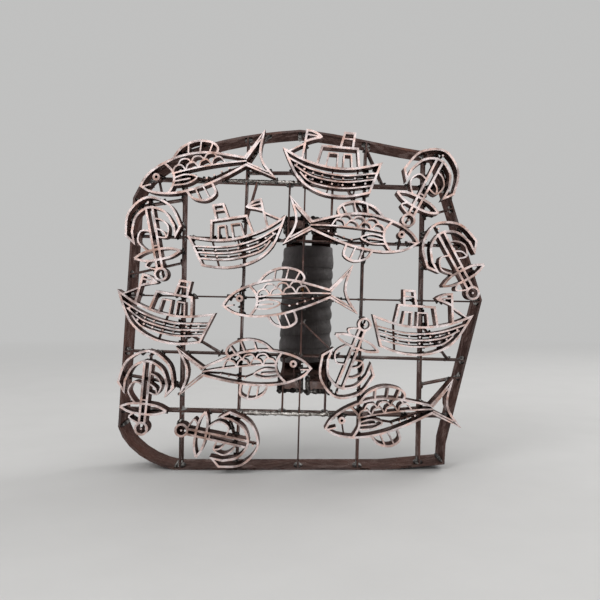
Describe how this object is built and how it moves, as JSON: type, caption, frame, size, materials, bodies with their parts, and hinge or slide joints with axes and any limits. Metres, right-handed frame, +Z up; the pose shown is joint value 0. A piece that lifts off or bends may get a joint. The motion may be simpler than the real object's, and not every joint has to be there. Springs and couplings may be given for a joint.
{
  "type": "batik stamp",
  "caption": "Hand stamp for batik: copper strips on edge form a raised harbour design, carried by a strip lattice inside a bent border, with a wrapped grip on two copper straps behind.",
  "frame": {"origin": "middle of the box at the level of the lower edge that the stamp stands on", "axes": "+Z up along the face, +X to the right as the face is seen, -Y out of the stamping face, +Y back through the handle"},
  "size_m": [0.2022, 0.0845, 0.189],
  "materials": {
    "face_copper": "satin",
    "border_copper": "matte",
    "lattice_copper": "matte",
    "handle_copper": "matte",
    "rivet_copper": "satin",
    "grip_wood": "matte",
    "grip_wrap": "matte"
  },
  "bodies": {
    "root": {"frame_base": "border_copper", "frame_right_lower": "border_copper", "frame_right_upper": "border_copper", "frame_crown_right": "border_copper", "frame_crown_left": "border_copper", "frame_left": "border_copper", "frame_heel": "border_copper", "upright_1": "lattice_copper", "upright_2": "lattice_copper", "upright_3": "lattice_copper", "upright_4": "lattice_copper", "upright_5": "lattice_copper", "rail_1": "lattice_copper", "rail_2": "lattice_copper", "rail_3": "lattice_copper", "rail_4": "lattice_copper", "rail_5": "lattice_copper", "crown_brace": "lattice_copper", "upper_stays": "lattice_copper", "lower_stays": "lattice_copper", "tie_1": "lattice_copper", "tie_2": "lattice_copper", "tie_3": "lattice_copper", "tie_4": "lattice_copper", "tie_5": "lattice_copper", "tie_6": "lattice_copper", "tie_7": "lattice_copper", "tie_8": "lattice_copper", "tie_9": "lattice_copper", "tie_10": "lattice_copper", "tie_11": "lattice_copper", "tie_12": "lattice_copper", "tie_13": "lattice_copper", "tie_14": "lattice_copper", "fish_1": "face_copper", "fish_2": "face_copper", "fish_3": "face_copper", "fish_4": "face_copper", "fish_5": "face_copper", "boat_1": "face_copper", "boat_2": "face_copper", "boat_3": "face_copper", "boat_4": "face_copper", "anchor_1": "face_copper", "anchor_2": "face_copper", "anchor_3": "face_copper", "anchor_4": "face_copper", "anchor_5": "face_copper", "anchor_6": "face_copper", "handle_strip_left": "handle_copper", "handle_strip_right": "handle_copper", "grip_wood_front": "grip_wood", "grip_wood_back": "grip_wood", "grip_rivets": "rivet_copper", "grip_wrap": "grip_wrap"}
  },
  "joints": []
}
